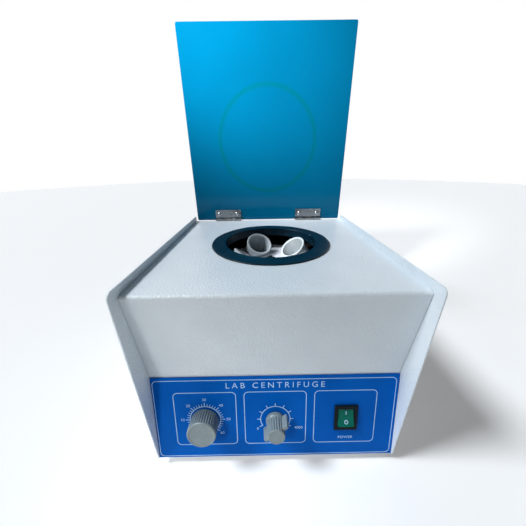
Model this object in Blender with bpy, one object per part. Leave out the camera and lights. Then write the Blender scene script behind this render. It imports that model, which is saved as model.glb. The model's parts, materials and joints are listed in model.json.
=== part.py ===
"""Bench-top laboratory centrifuge.

A bent steel cover sits between two side plates that stand proud of it. A four-cup angle rotor spins in a
black chamber bowl, driven by a brush motor on rubber dampers. The acrylic lid swings on two butt hinges and
is modelled open. A leaning control panel carries a timer knob, a speed knob and a rocker switch.

Units are metres, +Z is up and the operator stands at -Y. The origin is on the surface that the feet stand on,
under the middle of the outline that the object has with its lid open.
"""

import math

import bmesh
import bpy
from mathutils import Matrix, Vector

MM = 0.001
GAP = 0.3 * MM

# Case
SHEET = 1.2 * MM
SIDE_SHEET = 1.25 * MM
CASE_WIDTH = 260 * MM
CASE_DEPTH = 252.4 * MM
CASE_BOTTOM = 10 * MM
TOP_Z = 211.5 * MM
FRONT_Y = -121.8 * MM
REAR_Y = FRONT_Y + CASE_DEPTH
SIDE_PROUD = 8.6 * MM
SIDE_FRONT_TOP = 10.7 * MM
SIDE_FRONT_BOTTOM = 14.2 * MM
SIDE_CORNER_R = 6 * MM
COVER_FLANGE = 14 * MM
COVER_BEND_R = 3 * MM
COVER_SHORT = 5 * MM
BASE_SHEET = 1.5 * MM
BASE_FLANGE = 15 * MM
BASE_TOP = CASE_BOTTOM + BASE_SHEET

# Control panel: top and bottom edges of its face as (y, z)
PANEL_TOP = Vector((FRONT_Y + 8.2 * MM, TOP_Z - 102.3 * MM))
PANEL_BOTTOM = Vector((FRONT_Y - 13.2 * MM, TOP_Z - 200.7 * MM))
PANEL_DOWN = (PANEL_BOTTOM - PANEL_TOP).normalized()
PANEL_HEIGHT = (PANEL_BOTTOM - PANEL_TOP).length
PANEL_SHEET = 1.0 * MM
PANEL_TURN = math.atan2(-PANEL_DOWN.y, -PANEL_DOWN.x)
COVER_BEHIND_PANEL = PANEL_SHEET + GAP
TIMER_AT = (-74.6 * MM, -51.5 * MM)
SPEED_AT = (0, -52.2 * MM)
SWITCH_AT = (75 * MM, -51 * MM)
SPEED_ZERO_ANGLE = math.radians(120)
SWITCH_BEZEL = (25 * MM, 31 * MM)
SWITCH_BODY = (21.6 * MM, 27.5 * MM)
SWITCH_OPENING = (17.4 * MM, 22 * MM)
ROCKER_WIDTH = 16.8 * MM
ROCKER_PIVOT = 3 * MM
ROCKER_TILT = math.radians(11)
BUSH_R = 4.4 * MM

# Chamber, rotor and motor, all round one vertical axis
ROTOR_Y = FRONT_Y + 132 * MM
CHAMBER_HOLE_R = 66 * MM
CUP_COUNT = 4
CUP_FIRST_ANGLE = math.radians(26.2)
CUP_TILT = math.radians(37)
CUP_MOUTH_R = 34.3 * MM
CUP_MOUTH_DEPTH = 12.9 * MM
CUP_LENGTH = 100 * MM
CUP_OUTER_R = 16.8 * MM
CUP_INNER_R = 15.4 * MM
CUP_RIM_R = 18.3 * MM
CUP_RIM_H = 2.5 * MM
CUP_POCKET_R = 17.2 * MM
SHAFT_R = 6 * MM
DAMPER_COUNT = 3
DAMPER_R = 46 * MM
MOTOR_PLATE_Z = TOP_Z - 185.7 * MM
MOTOR_PLATE_T = 3 * MM
MOTOR_PLATE_R = 58 * MM

# Lid and hinges; the lid's own frame has its origin on the hinge axis, +Y behind the lid and +Z up along it
HINGE_Y = REAR_Y - 1.2 * MM
HINGE_Z = TOP_Z + 2.7 * MM
HINGE_X = 71 * MM
HINGE_WIDTH = 45 * MM
HINGE_LEAF = 16.2 * MM
HINGE_BARREL_R = 2.4 * MM
HINGE_LEAF_T = 0.9 * MM
HINGE_BORE_R = 1.45 * MM
HINGE_PIN_R = 1.1 * MM
HINGE_SCREW_X = 15.5 * MM
HINGE_SCREW_UP = 8.7 * MM
LID_LEAN = math.radians(2.4)
LID_WIDTH = 252.8 * MM
LID_LENGTH = 273 * MM
LID_SHEET = 4 * MM
LID_INNER = 2.8 * MM
LID_TAIL = 1.5 * MM
SCREW_HOLE_R = 1.9 * MM

# Back and inside
INLET_AT = (84 * MM, 46 * MM)
FUSE_AT = (84 * MM, 82 * MM)
FOOT_X = 105 * MM
FOOT_YS = (-92 * MM, 104 * MM)
BOARD_AT = (-88 * MM, 60 * MM)
BOARD_SIZE = (52 * MM, 90 * MM)
TERMINAL_AT = (88 * MM, 60 * MM)


def clear_scene():
    for obj in list(bpy.data.objects):
        bpy.data.objects.remove(obj, do_unlink=True)


def mm(*points):
    """Points written in millimetres, as metres."""
    return [tuple(value * MM for value in point) for point in points]


def material(name, colour, roughness=0.5, metallic=0.0, alpha=1.0):
    made = bpy.data.materials.new(name)
    made.use_nodes = True
    shader = made.node_tree.nodes["Principled BSDF"]
    shader.inputs["Base Color"].default_value = (*colour, 1.0)
    shader.inputs["Roughness"].default_value = roughness
    shader.inputs["Metallic"].default_value = metallic
    shader.inputs["Alpha"].default_value = alpha
    made.diffuse_color = (*colour, alpha)
    return made


def add_turned(bm, profile, segments=24, matrix=Matrix()):
    """A body turned about Z. A profile point is (radius, height) or (radius, height, dip): the dip is how far
    every other vertex of that ring is drawn in, which makes flutes, or a hexagon out of twelve vertices."""
    rings = []
    for radius, height, *dip in profile:
        if radius == 0:
            rings.append([bm.verts.new(matrix @ Vector((0, 0, height)))] * segments)
            continue
        ring = []
        for i in range(segments):
            angle = 2 * math.pi * i / segments
            reach = radius - (dip[0] if dip and i % 2 else 0)
            point = Vector((reach * math.cos(angle), reach * math.sin(angle), height))
            ring.append(bm.verts.new(matrix @ point))
        rings.append(ring)
    bands = list(zip(rings, rings[1:]))
    if profile[0][0] and profile[-1][0]:
        bands.append((rings[-1], rings[0]))
    for upper, lower in bands:
        for i in range(segments):
            j = (i + 1) % segments
            corners = dict.fromkeys((upper[i], upper[j], lower[j], lower[i]))
            bm.faces.new(list(corners))


def add_prism(bm, outline, start, end, axis="X", matrix=Matrix()):
    """A flat outline carried along one axis. The outline is in the other two axes, in X, Y, Z order."""
    spread = {
        "X": lambda a, b, s: Vector((s, a, b)),
        "Y": lambda a, b, s: Vector((a, s, b)),
        "Z": lambda a, b, s: Vector((a, b, s)),
    }[axis]
    near = [bm.verts.new(matrix @ spread(a, b, start)) for a, b in outline]
    far = [bm.verts.new(matrix @ spread(a, b, end)) for a, b in outline]
    bm.faces.new(near)
    bm.faces.new(far[::-1])
    for i in range(len(outline)):
        j = (i + 1) % len(outline)
        bm.faces.new((near[i], far[i], far[j], near[j]))


def add_box(bm, low, high, matrix=Matrix()):
    outline = [(low[0], low[1]), (high[0], low[1]), (high[0], high[1]), (low[0], high[1])]
    add_prism(bm, outline, low[2], high[2], "Z", matrix)


def centred_box(bm, centre, size, matrix=Matrix()):
    low = [c - s / 2 for c, s in zip(centre, size)]
    high = [c + s / 2 for c, s in zip(centre, size)]
    add_box(bm, low, high, matrix)


def rounded(outline, radii, steps=5):
    """An outline with its corners rounded. A radius of 0 keeps a corner sharp."""
    points = []
    for i, (corner, radius) in enumerate(zip(outline, radii)):
        corner = Vector(corner)
        before = (Vector(outline[i - 1]) - corner).normalized()
        after = (Vector(outline[(i + 1) % len(outline)]) - corner).normalized()
        if radius == 0:
            points.append(tuple(corner))
            continue
        half = before.angle(after) / 2
        centre = corner + (before + after).normalized() * (radius / math.sin(half))
        first = corner + before * (radius / math.tan(half)) - centre
        last = corner + after * (radius / math.tan(half)) - centre
        for k in range(steps + 1):
            points.append(tuple(centre + first.slerp(last, k / steps).normalized() * radius))
    return points


def offset_line(points, distance):
    """An open line moved sideways, to the left of its own direction, with mitred corners."""
    moved = []
    for i, point in enumerate(points):
        here = Vector(point)
        sides = []
        if i > 0:
            sides.append((here - Vector(points[i - 1])).normalized())
        if i < len(points) - 1:
            sides.append((Vector(points[i + 1]) - here).normalized())
        normals = [Vector((-side.y, side.x)) for side in sides]
        mean = sum(normals, Vector((0, 0))).normalized()
        moved.append(tuple(here + mean * (distance / mean.dot(normals[0]))))
    return moved


def empty(name, location, rotation=(0, 0, 0)):
    frame = bpy.data.objects.new(name, None)
    frame.empty_display_size = 0.02
    frame.location = location
    frame.rotation_euler = rotation
    bpy.context.scene.collection.objects.link(frame)
    return frame


def make(name, bm, finish, parent=None, location=(0, 0, 0), rotation=(0, 0, 0), sharp=35):
    """An object from a bmesh, with its faces turned outward and its round parts shaded smooth."""
    bmesh.ops.recalc_face_normals(bm, faces=bm.faces)
    mesh = bpy.data.meshes.new(name)
    bm.to_mesh(mesh)
    bm.free()
    mesh.shade_smooth()
    mesh.set_sharp_from_angle(angle=math.radians(sharp))
    obj = bpy.data.objects.new(name, mesh)
    if finish:
        mesh.materials.append(finish)
    obj.parent = parent
    obj.location = location
    obj.rotation_euler = rotation
    bpy.context.scene.collection.objects.link(obj)
    return obj


def turned(name, profile, finish, parent=None, segments=24, **placed):
    bm = bmesh.new()
    add_turned(bm, profile, segments)
    return make(name, bm, finish, parent, **placed)


def cutter(name, bm, parent=None, **placed):
    """A shape that only cuts: it is hidden from renders and drawn as wire."""
    tool = make("cutter_" + name, bm, None, parent, **placed)
    tool.hide_render = True
    tool.display_type = "WIRE"
    return tool


def combine(obj, tool, operation="DIFFERENCE"):
    change = obj.modifiers.new(tool.name, "BOOLEAN")
    change.operation = operation
    change.solver = "EXACT"
    change.object = tool


def bevel(obj, width, segments=2):
    change = obj.modifiers.new("edge", "BEVEL")
    change.width = width
    change.segments = segments
    change.limit_method = "ANGLE"
    change.angle_limit = math.radians(40)


def along_x(point):
    """A frame at a point whose Z runs along +X."""
    return Matrix.Translation(point) @ Matrix.Rotation(math.pi / 2, 4, "Y")


def along_y(point):
    """A frame at a point whose Z runs along +Y."""
    return Matrix.Translation(point) @ Matrix.Rotation(-math.pi / 2, 4, "X")


def screw_profile(head_r, head_h, shank_r, length):
    """A pan-head screw: the head stands on Z = 0 and the shank runs down from it."""
    return [
        (0, head_h),
        (head_r * 0.7, head_h),
        (head_r, head_h * 0.4),
        (head_r, 0),
        (shank_r, 0),
        (shank_r, -length),
        (0, -length),
    ]


def panel_frame():
    """X along the panel, Y up its face, Z out of it; the origin is the middle of the face's top edge."""
    return empty("panel_frame", (0, PANEL_TOP.x, PANEL_TOP.y), (PANEL_TURN, 0, 0))


def damper_points():
    """Where the motor plate stands on its dampers."""
    for k in range(DAMPER_COUNT):
        angle = math.pi / 2 + 2 * math.pi * k / DAMPER_COUNT
        yield DAMPER_R * math.cos(angle), ROTOR_Y + DAMPER_R * math.sin(angle)


def base_parts(paint, rubber):
    half = CASE_WIDTH / 2 - SIDE_SHEET - GAP
    low = half - BASE_SHEET
    top = CASE_BOTTOM + BASE_FLANGE
    tray = [(-half, CASE_BOTTOM), (half, CASE_BOTTOM), (half, top), (low, top), (low, BASE_TOP),
            (-low, BASE_TOP), (-low, top), (-half, top)]
    bm = bmesh.new()
    add_prism(bm, tray, FRONT_Y - 11.5 * MM, REAR_Y - SHEET - GAP, "Y")
    base = make("base_plate", bm, paint)

    bm = bmesh.new()
    add_box(bm, (-half - MM, FRONT_Y - 20 * MM, BASE_TOP), (half + MM, FRONT_Y + 8 * MM, top + MM))
    combine(base, cutter("base_front", bm))

    bm = bmesh.new()
    for row in range(5):
        y = ROTOR_Y + (row - 2) * 12 * MM
        centred_box(bm, (0, y, CASE_BOTTOM), (46 * MM, 4 * MM, 8 * MM))
    for x in (-FOOT_X, FOOT_X):
        for y in FOOT_YS:
            add_turned(bm, [(0, 0), (2.2 * MM, 0), (2.2 * MM, 0.02), (0, 0.02)], 10,
                       Matrix.Translation((x, y, 0)))
    for x, y in damper_points():
        add_turned(bm, [(0, 0), (2.2 * MM, 0), (2.2 * MM, 0.02), (0, 0.02)], 10,
                   Matrix.Translation((x, y, 0)))
    combine(base, cutter("base_holes", bm))

    foot = mm((3.8, 0), (9, 0), (10, 1), (11, 9.7), (2.2, 9.7), (2.2, 5), (3.8, 5))
    for x, side in ((-FOOT_X, "left"), (FOOT_X, "right")):
        for y, end in zip(FOOT_YS, ("front", "rear")):
            turned(f"foot_{end}_{side}", foot, rubber, segments=16, location=(x, y, 0))
    return base


def side_plates(paint):
    outline = [
        (FRONT_Y - SIDE_FRONT_BOTTOM, CASE_BOTTOM),
        (REAR_Y, CASE_BOTTOM),
        (REAR_Y, TOP_Z + SIDE_PROUD),
        (FRONT_Y - SIDE_FRONT_TOP, TOP_Z + SIDE_PROUD),
    ]
    outline = rounded(outline, (1.5 * MM, 1.5 * MM, 4 * MM, SIDE_CORNER_R))
    inner = CASE_WIDTH / 2 - SIDE_SHEET
    plates = []
    for name, side in (("left_side_plate", -1), ("right_side_plate", 1)):
        bm = bmesh.new()
        add_prism(bm, outline, side * inner, side * CASE_WIDTH / 2)
        plates.append(make(name, bm, paint))
    return plates


def cover_line():
    """The outer line of the bent cover as (y, z): bottom of the front, the two bends, then the top's rear."""
    inward = Vector((PANEL_DOWN.y, -PANEL_DOWN.x)) * -COVER_BEHIND_PANEL
    foot = PANEL_BOTTOM - PANEL_DOWN * COVER_SHORT
    return [tuple(foot + inward), tuple(PANEL_TOP + inward), (FRONT_Y, TOP_Z), (REAR_Y, TOP_Z)]


def top_front_cover(paint):
    half = CASE_WIDTH / 2 - SIDE_SHEET - GAP
    line = cover_line()
    deep = offset_line(line, -COVER_FLANGE)
    block = rounded(line + deep[::-1], (0, 0, COVER_BEND_R, 0, 0, 0, 0, 0), 4)
    bm = bmesh.new()
    add_prism(bm, block, -half, half)
    cover = make("top_front_cover", bm, paint)

    skin = offset_line(line, -SHEET)
    long_skin = [tuple(Vector(skin[0]) + PANEL_DOWN * 5 * MM), *skin[1:3],
                 (skin[3][0] + 5 * MM, skin[3][1])]
    beyond = offset_line(long_skin, -COVER_FLANGE)
    bm = bmesh.new()
    hollow = rounded(long_skin + beyond[::-1], (0, 0, COVER_BEND_R - SHEET, 0, 0, 0, 0, 0), 4)
    add_prism(bm, hollow, SHEET - half, half - SHEET)
    combine(cover, cutter("cover_inside", bm))

    bm = bmesh.new()
    add_turned(bm, [(0, -0.01), (CHAMBER_HOLE_R, -0.01), (CHAMBER_HOLE_R, 0.01), (0, 0.01)], 48)
    combine(cover, cutter("chamber_hole", bm, location=(0, ROTOR_Y, TOP_Z)))
    combine(cover, bpy.data.objects["cutter_panel_holes"])
    return cover


def panel_holes(frame):
    """The tool that opens both the panel and the cover behind it for the two bushes and the switch."""
    bm = bmesh.new()
    hole = [(0, -8 * MM), (BUSH_R + 0.5 * MM, -8 * MM), (BUSH_R + 0.5 * MM, 8 * MM), (0, 8 * MM)]
    for x, y in (TIMER_AT, SPEED_AT):
        add_turned(bm, hole, 16, Matrix.Translation((x, y, 0)))
    size = (SWITCH_BODY[0] + 2 * GAP, SWITCH_BODY[1] + 2 * GAP, 16 * MM)
    centred_box(bm, (*SWITCH_AT, 0), size)
    return cutter("panel_holes", bm, frame)


def control_panel(blue, frame):
    half = CASE_WIDTH / 2 - SIDE_SHEET - GAP
    bm = bmesh.new()
    add_box(bm, (-half, -PANEL_HEIGHT, -PANEL_SHEET), (half, 0, 0))
    panel = make("control_panel", bm, blue, frame)
    combine(panel, bpy.data.objects["cutter_panel_holes"])


def rear_panel(paint):
    half = CASE_WIDTH / 2 - SIDE_SHEET - GAP - BASE_SHEET - GAP
    top = TOP_Z - SHEET - GAP
    inner = REAR_Y - SHEET
    lip = BASE_TOP + GAP
    outline = [(REAR_Y, CASE_BOTTOM), (REAR_Y, top), (inner, top), (inner, lip + SHEET),
               (inner - 12 * MM, lip + SHEET), (inner - 12 * MM, lip), (inner, lip), (inner, CASE_BOTTOM)]
    bm = bmesh.new()
    add_prism(bm, outline, -half, half)
    panel = make("rear_panel", bm, paint)

    bm = bmesh.new()
    for row in range(8):
        centred_box(bm, (-50 * MM, REAR_Y, 50 * MM + row * 11 * MM), (70 * MM, 8 * MM, 3.4 * MM))
    centred_box(bm, (INLET_AT[0], REAR_Y, INLET_AT[1]), (27.8 * MM, 8 * MM, 20.8 * MM))
    add_turned(bm, mm((0, -5), (6.8, -5), (6.8, 5), (0, 5)), 20, along_y((FUSE_AT[0], REAR_Y, FUSE_AT[1])))
    for side in (-1, 1):
        for step in (-1, 1):
            x = side * HINGE_X + step * HINGE_SCREW_X
            point = (x, REAR_Y, HINGE_Z - HINGE_SCREW_UP)
            add_turned(bm, [(0, -4 * MM), (SCREW_HOLE_R, -4 * MM), (SCREW_HOLE_R, 4 * MM), (0, 4 * MM)],
                       10, along_y(point))
    combine(panel, cutter("rear_openings", bm))


def side_screw_holes(targets):
    """The holes for the screws that hold the side plates to the cover's flanges and the base's flanges."""
    places = [(y, z) for y in (-80 * MM, 90 * MM) for z in (CASE_BOTTOM + 8 * MM, TOP_Z - 8 * MM)]
    bm = bmesh.new()
    for y, z in places:
        add_turned(bm, [(0, -0.15), (2 * MM, -0.15), (2 * MM, 0.15), (0, 0.15)], 12, along_x((0, y, z)))
    tool = cutter("side_screws", bm)
    for target in targets:
        combine(target, tool)


def chamber(black, rubber, frame):
    turned("chamber_bowl", mm(
        (112, -1.5), (114.8, -1.5), (114.8, -2.9), (113.3, -2.9), (113.3, -104), (108, -109.3), (31, -109.3),
        (24.5, -101.3), (17, -101.3), (17, -100), (25.3, -100), (31.8, -108), (107.4, -108), (112, -103.4),
    ), black, frame, 36)
    turned("sealing_ring", mm(
        (58.3, -9), (58.3, 1.2), (59.2, 2.1), (75.7, 1.5), (76.6, 0.9), (76.6, 0.3), (65.5, 0.3),
        (65.5, -1.5), (69, -1.5), (69, -3.2), (61.4, -5), (61, -9),
    ), rubber, frame, 40)


def cup_profile():
    """One cup: the mouth is at Z = 0 and the round bottom is below it."""
    bottom = CUP_LENGTH - CUP_OUTER_R
    steps = 4
    outer = []
    inner = []
    for k in range(1, steps + 1):
        angle = math.pi / 2 * k / steps
        outer.append((CUP_OUTER_R * math.sin(angle), -bottom - CUP_OUTER_R * math.cos(angle)))
        inner.append((CUP_INNER_R * math.sin(angle), -bottom - CUP_INNER_R * math.cos(angle)))
    rim = [(CUP_OUTER_R, -CUP_RIM_H), (CUP_RIM_R, -CUP_RIM_H), (CUP_RIM_R, 0), (CUP_INNER_R, 0)]
    return [(0, -CUP_LENGTH), *outer, *rim, *inner[::-1], (0, -bottom - CUP_INNER_R)]


def rotor(alloy, plastic, dark, frame):
    body = turned("rotor_body", mm(
        (6.4, -30.4), (73, -30.4), (75.6, -31.4), (107.6, -69.5), (107.6, -72.5), (103.2, -72.5),
        (101.6, -69.6), (73.6, -36.2), (22, -36.2), (18, -40), (17, -58), (6.4, -58),
    ), alloy, frame, 36)
    pocket = [(0, -CUP_LENGTH - 10 * MM), (CUP_POCKET_R, -CUP_LENGTH - 10 * MM), (CUP_POCKET_R, 5 * MM),
              (0, 5 * MM)]
    for i in range(CUP_COUNT):
        angle = CUP_FIRST_ANGLE + 2 * math.pi * i / CUP_COUNT
        mouth = (CUP_MOUTH_R * math.cos(angle), CUP_MOUTH_R * math.sin(angle), -CUP_MOUTH_DEPTH)
        turn = (0, -CUP_TILT, angle)
        bm = bmesh.new()
        add_turned(bm, pocket, 24)
        combine(body, cutter(f"pocket_{i + 1}", bm, frame, location=mouth, rotation=turn))
        turned(f"cup_{i + 1}", cup_profile(), plastic, frame, 20, location=mouth, rotation=turn)
    turned("rotor_lock_nut", mm(
        (0, -20.3), (2.6, -20.3), (3.2, -21), (3.4, -23), (7.5, -23.8), (8.5, -25.5, 0.7), (8.5, -28.6, 0.7),
        (9.6, -29.2), (9.6, -30.1), (4.3, -30.1), (4.3, -26), (0, -26),
    ), dark, frame, 16)


def motor(steel, alloy, black, copper, rubber, plastic, frame, spin):
    """The brush motor hangs on its plate; its shaft, armature, fan and drive hub turn with the rotor."""
    turned("motor_upper_cap", mm(
        (38, -125.7), (38, -116), (32, -112), (16, -112), (16, -110), (8.5, -110), (8.5, -113),
        (13.3, -113), (13.3, -121.4), (15.5, -121.4), (15.5, -115), (31, -115), (35, -119), (35, -125.7),
    ), alloy, frame, 20)
    turned("motor_housing", mm((36.4, -126), (38, -126), (38, -167.4), (36.4, -167.4)), steel, frame, 20)
    turned("motor_lower_cap", mm(
        (38, -182.4), (38, -167.7), (35, -167.7), (35, -179), (15.5, -179), (15.5, -171), (13.3, -171),
        (13.3, -179.4), (8.5, -179.4), (8.5, -182.4),
    ), alloy, frame, 20)
    turned("upper_bearing", mm((6.3, -113.3), (13, -113.3), (13, -121), (6.3, -121)), steel, frame, 20)
    turned("lower_bearing", mm((6.3, -171.3), (13, -171.3), (13, -179.1), (6.3, -179.1)), steel, frame, 20)
    turned("stator_core", mm((21.5, -135), (36.1, -135), (36.1, -160), (21.5, -160)), copper, frame, 20)

    for side, word in ((-1, "left"), (1, "right")):
        turned(f"brush_cap_{word}", mm((0, 0), (5, 0), (5, 5), (4, 6), (0, 6)), black, frame, 12,
               location=(side * 38.3 * MM, 0, -174 * MM), rotation=(0, side * math.pi / 2, 0))

    disc = [(0, 0), (MOTOR_PLATE_R, 0), (MOTOR_PLATE_R, MOTOR_PLATE_T), (0, MOTOR_PLATE_T)]
    mount = turned("motor_mount_plate", disc, steel, None, 32, location=(0, ROTOR_Y, MOTOR_PLATE_Z))
    bm = bmesh.new()
    add_turned(bm, mm((0, -5), (9, -5), (9, 5), (0, 5)), 16)
    for x, y in damper_points():
        add_turned(bm, mm((0, -5), (2.2, -5), (2.2, 5), (0, 5)), 10, Matrix.Translation((x, y - ROTOR_Y, 0)))
    combine(mount, cutter("motor_plate_holes", bm, location=(0, ROTOR_Y, MOTOR_PLATE_Z)))

    damper_top = MOTOR_PLATE_Z - GAP
    damper_bottom = BASE_TOP + GAP
    waist = (damper_top + damper_bottom) / 2
    damper = [(2.2 * MM, damper_bottom), (9 * MM, damper_bottom), (7.5 * MM, waist), (9 * MM, damper_top),
              (2.2 * MM, damper_top)]
    for k, (x, y) in enumerate(damper_points()):
        turned(f"vibration_damper_{k + 1}", damper, rubber, None, 12, location=(x, y, 0))

    turned("motor_shaft", mm(
        (0, -26.4), (3.9, -26.4), (3.9, -31), (SHAFT_R / MM, -31), (SHAFT_R / MM, -181.5), (0, -181.5),
    ), steel, spin, 20)
    turned("drive_hub", mm((6.3, -58.3), (13, -58.3), (13, -62), (10, -68), (6.3, -68)), steel, spin, 20)
    turned("armature", mm(
        (6.3, -137), (21, -137), (21, -158), (11, -159), (11, -170), (6.3, -170),
    ), copper, spin, 18)

    bm = bmesh.new()
    add_turned(bm, mm((6.3, -133.8), (10, -133.8), (10, -126), (6.3, -126)), 20)
    fan = make("cooling_fan", bm, plastic, spin)
    bm = bmesh.new()
    for i in range(8):
        turn = Matrix.Rotation(2 * math.pi * i / 8, 4, "Z")
        lean = Matrix.Translation((0, 0, -129.9 * MM)) @ Matrix.Rotation(math.radians(28), 4, "X")
        centred_box(bm, (20 * MM, 0, 0), (24 * MM, 9 * MM, 1.2 * MM), turn @ lean)
    combine(fan, cutter("fan_blades", bm, spin), "UNION")


def timer(grey, steel, plastic, frame, turning):
    x, y = TIMER_AT
    turned("timer_movement", mm(
        (0, -9), (3.3, -9), (3.3, 4), (4.4, 4), (4.4, -2.8), (24, -2.8), (24, -30), (0, -30),
    ), plastic, frame, 20, location=(x, y, 0))
    turned("timer_nut", mm((4.8, 0.3), (8, 0.3, 1.07), (8, 3, 1.07), (4.8, 3)), steel, frame, 12,
           location=(x, y, 0))
    turned("timer_spindle", mm((0, -8.6), (3, -8.6), (3, 14), (0, 14)), steel, turning, 16)
    turned("timer_knob", mm(
        (0, 18.5), (13.6, 18.5), (14.7, 17.6, 0.2), (14.75, 16.8, 0.55), (14.75, 2.2, 0.55), (14.2, 1, 0.1),
        (10.5, 1), (10.5, 5), (3.3, 5), (3.3, 14.4), (0, 14.4),
    ), grey, turning, 40)


def speed_control(grey, steel, plastic, frame, turning):
    x, y = SPEED_AT
    turned("speed_potentiometer", mm(
        (0, -9), (3.3, -9), (3.3, 4), (4.4, 4), (4.4, -2.8), (12, -2.8), (12, -14), (0, -14),
    ), plastic, frame, 20, location=(x, y, 0))
    turned("potentiometer_nut", mm((4.8, 0.3), (7, 0.3, 0.94), (7, 2.5, 0.94), (4.8, 2.5)), steel, frame, 12,
           location=(x, y, 0))
    turned("speed_spindle", mm((0, -8.6), (3, -8.6), (3, 14), (0, 14)), steel, turning, 16)
    knob = turned("speed_knob", mm(
        (0, 21.5), (8, 21.5), (8.7, 20.8, 0.1), (8.8, 20, 0.45), (9.1, 7.5, 0.45), (9.8, 5), (10.2, 3.4),
        (10.3, 1), (8.8, 1), (8.8, 4.6), (3.3, 4.6), (3.3, 14.4), (0, 14.4),
    ), grey, turning, 32)
    bm = bmesh.new()
    for side in (-1, 1):
        outline = mm((6.5, 3.4), (14.2, 3.4), (15.2, 4.4), (14.6, 17.4), (13.8, 18.2), (6.5, 18.2))
        outline = [(side * along, up) for along, up in outline]
        add_prism(bm, outline, -1.6 * MM, 1.6 * MM, "Y")
    turn = (0, 0, math.pi / 2 + SPEED_ZERO_ANGLE)
    combine(knob, cutter("knob_fins", bm, turning, rotation=turn), "UNION")


def power_switch(black, green, frame, rocking):
    bm = bmesh.new()
    centred_box(bm, (*SWITCH_AT, 1.3 * MM), (*SWITCH_BEZEL, 2 * MM))
    housing = make("switch_housing", bm, black, frame)
    bevel(housing, 0.6 * MM, 1)
    bm = bmesh.new()
    centred_box(bm, (*SWITCH_AT, -9.5 * MM), (*SWITCH_BODY, 20 * MM))
    combine(housing, cutter("switch_body", bm, frame), "UNION")
    bm = bmesh.new()
    centred_box(bm, (*SWITCH_AT, -2 * MM), (*SWITCH_OPENING, 16 * MM))
    combine(housing, cutter("switch_opening", bm, frame))

    profile = mm((-10, 6), (0, 4.6), (10, 6), (9.8, 3), (8.6, -1.5), (2, -4), (-2, -4), (-8.6, -1.5),
                 (-9.8, 3))
    bm = bmesh.new()
    add_prism(bm, profile, -ROCKER_WIDTH / 2, ROCKER_WIDTH / 2)
    make("power_rocker", bm, green, rocking, rotation=(-ROCKER_TILT, 0, 0))


def hinge_leaf(name, side, up, own, finish, parent):
    """One leaf of a butt hinge, in a frame on the hinge axis: Z runs up the leaf, or down when up is -1, and
    the plate stands behind the axis. own lists the stretches of the barrel that belong to this leaf."""
    centre = side * HINGE_X
    front = HINGE_BARREL_R - HINGE_LEAF_T
    clear = HINGE_BARREL_R + 2 * GAP
    bm = bmesh.new()
    edge = HINGE_WIDTH / 2
    outline = [(centre - edge, up * clear), (centre + edge, up * clear),
               (centre + edge, up * HINGE_LEAF), (centre - edge, up * HINGE_LEAF)]
    add_prism(bm, rounded(outline, (0, 0, 1 * MM, 1 * MM), 2), front, HINGE_BARREL_R, "Y")
    leaf = make(name, bm, finish, parent)

    barrel = [(HINGE_BARREL_R, up * (clear + 0.5 * MM)), (HINGE_BARREL_R, 0)]
    turn_end = math.pi * 2 - math.asin(math.sqrt(1 - (front / HINGE_BARREL_R) ** 2))
    for k in range(1, 13):
        angle = turn_end * k / 12
        barrel.append((HINGE_BARREL_R * math.cos(angle), -up * HINGE_BARREL_R * math.sin(angle)))
    barrel.append((front, up * (clear + 0.5 * MM)))
    bm = bmesh.new()
    for low, high in own:
        add_prism(bm, barrel, centre + low, centre + high)
    combine(leaf, cutter(name + "_barrel", bm, parent), "UNION")

    bm = bmesh.new()
    bore = [(0, -edge - MM), (HINGE_BORE_R, -edge - MM), (HINGE_BORE_R, edge + MM), (0, edge + MM)]
    add_turned(bm, bore, 16, along_x((centre, 0, 0)))
    for step in (-1, 1):
        point = (centre + step * HINGE_SCREW_X, HINGE_BARREL_R, up * HINGE_SCREW_UP)
        add_turned(bm, [(0, -3 * MM), (SCREW_HOLE_R, -3 * MM), (SCREW_HOLE_R, 3 * MM), (0, 3 * MM)], 10,
                   along_y(point))
    combine(leaf, cutter(name + "_holes", bm, parent))


def hinges(stainless, case_frame, lid_frame):
    third = HINGE_WIDTH / 6
    edge = HINGE_WIDTH / 2
    outer = [(-edge, -third - GAP), (third + GAP, edge)]
    middle = [(-third + GAP, third - GAP)]
    pin = [(0, -edge - 1.2 * MM), (1.9 * MM, -edge - 1.0 * MM), (1.9 * MM, -edge - GAP),
           (HINGE_PIN_R, -edge - GAP), (HINGE_PIN_R, edge + GAP), (1.9 * MM, edge + GAP),
           (1.9 * MM, edge + 1.0 * MM), (0, edge + 1.2 * MM)]
    for side, word in ((-1, "left"), (1, "right")):
        hinge_leaf(f"{word}_hinge_case_leaf", side, -1, outer, stainless, case_frame)
        hinge_leaf(f"{word}_hinge_lid_leaf", side, 1, middle, stainless, lid_frame)
        turned(f"{word}_hinge_pin", pin, stainless, case_frame, 16,
               location=(side * HINGE_X, 0, 0), rotation=(0, math.pi / 2, 0))


def hinge_screw_points(up):
    for side in (-1, 1):
        for step in (-1, 1):
            yield side * HINGE_X + step * HINGE_SCREW_X, up * HINGE_SCREW_UP


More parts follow.
